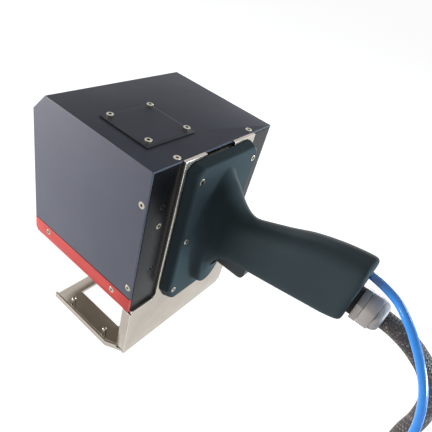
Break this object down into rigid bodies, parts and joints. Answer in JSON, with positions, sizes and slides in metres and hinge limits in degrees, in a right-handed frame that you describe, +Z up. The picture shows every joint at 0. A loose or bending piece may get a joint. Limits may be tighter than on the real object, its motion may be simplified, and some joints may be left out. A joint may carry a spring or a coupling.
{
  "type": "date code inkjet print head",
  "caption": "Hand-held inkjet date coder: box housing on a nozzle base, folded guide bracket with a window, pistol grip with trigger, cable gland, braided umbilical and ink tube.",
  "frame": {"origin": "Under the middle of the head, on the plane its guide plate stands on", "axes": "+X from the housing to the grip's free end, +Y across, +Z up from the guide plate to the housing's top"},
  "size_m": [0.6663, 0.1828, 0.21],
  "materials": {
    "cover": "satin blue-grey powder coat",
    "black_panel": "gloss black anodised",
    "red_base": "satin red anodised",
    "aluminium": "machined",
    "gasket": "matte",
    "bright_screws": "bright stainless",
    "black_screws": "black oxide",
    "nozzle_steel": "ground",
    "jewel": "polished",
    "coil_black": "moulded",
    "rail_plastic": "moulded",
    "board_green": "solder mask",
    "brass": "turned",
    "blue_tube": "polyurethane",
    "cable_jacket": "PVC jacket",
    "stainless": "brushed sheet",
    "grip_plastic": "fine textured",
    "switch_red": "moulded",
    "gland_grey": "grey polyamide",
    "braid": "braided sleeve",
    "tie_black": "hook-and-loop tape",
    "connector_metal": "satin nickel"
  },
  "bodies": {
    "head": {"housing_cover": "cover", "rear_panel": "black_panel", "nozzle_base": "red_base", "chassis": "aluminium", "access_plate": "cover", "access_gasket": "gasket", "access_screws": "bright_screws", "cover_screws": "bright_screws", "base_screws": "bright_screws", "panel_screws": "bright_screws", "panel_black_screws": "black_screws", "valve_block": "aluminium", "valve_block_screws": "bright_screws", "nozzle_plate": "nozzle_steel", "nozzle_screws": "bright_screws", "nozzle_inserts": "jewel", "solenoid_valves": "coil_black", "ink_manifolds": "rail_plastic", "driver_board": "board_green", "board_posts": "brass", "board_screws": "bright_screws", "board_components": "coil_black", "inner_ink_hose": "blue_tube", "inner_cable": "cable_jacket", "guide_bracket": "stainless", "guide_studs": "bright_screws", "pistol_grip": "grip_plastic", "grip_screws": "bright_screws", "trigger_pin": "bright_screws", "trigger_spring": "bright_screws", "micro_switch": "coil_black", "gland_ring": "gasket", "gland_body": "gland_grey", "gland_seal": "gasket", "gland_nut": "gland_grey", "umbilical_cable": "braid", "umbilical_coil": "braid", "umbilical_tie": "tie_black", "umbilical_connector": "connector_metal", "ink_tube": "blue_tube", "ink_tube_coil": "blue_tube", "ink_tube_tie": "tie_black", "ink_tube_fitting": "brass"},
    "trigger_body": {"trigger": "grip_plastic"},
    "plunger_body": {"switch_plunger": "switch_red"}
  },
  "joints": [
    {"name": "trigger_pull", "type": "hinge", "parent": "head", "child": "trigger_body", "pos_m": [0.014, 0, 0.12], "axis": [0, -1, 0], "range_deg": [0, 8], "stiffness_Nm_per_rad": 0.35, "springref_deg": -8.59, "deforming": ["trigger_spring"]},
    {"name": "switch_travel", "type": "slide", "parent": "head", "child": "plunger_body", "axis": [0, 0, 1], "range_m": [0, 0.0012]}
  ],
  "couplings": [
    {"joint": "switch_travel", "follows": "trigger_pull", "m_per_rad": 0.0075}
  ]
}
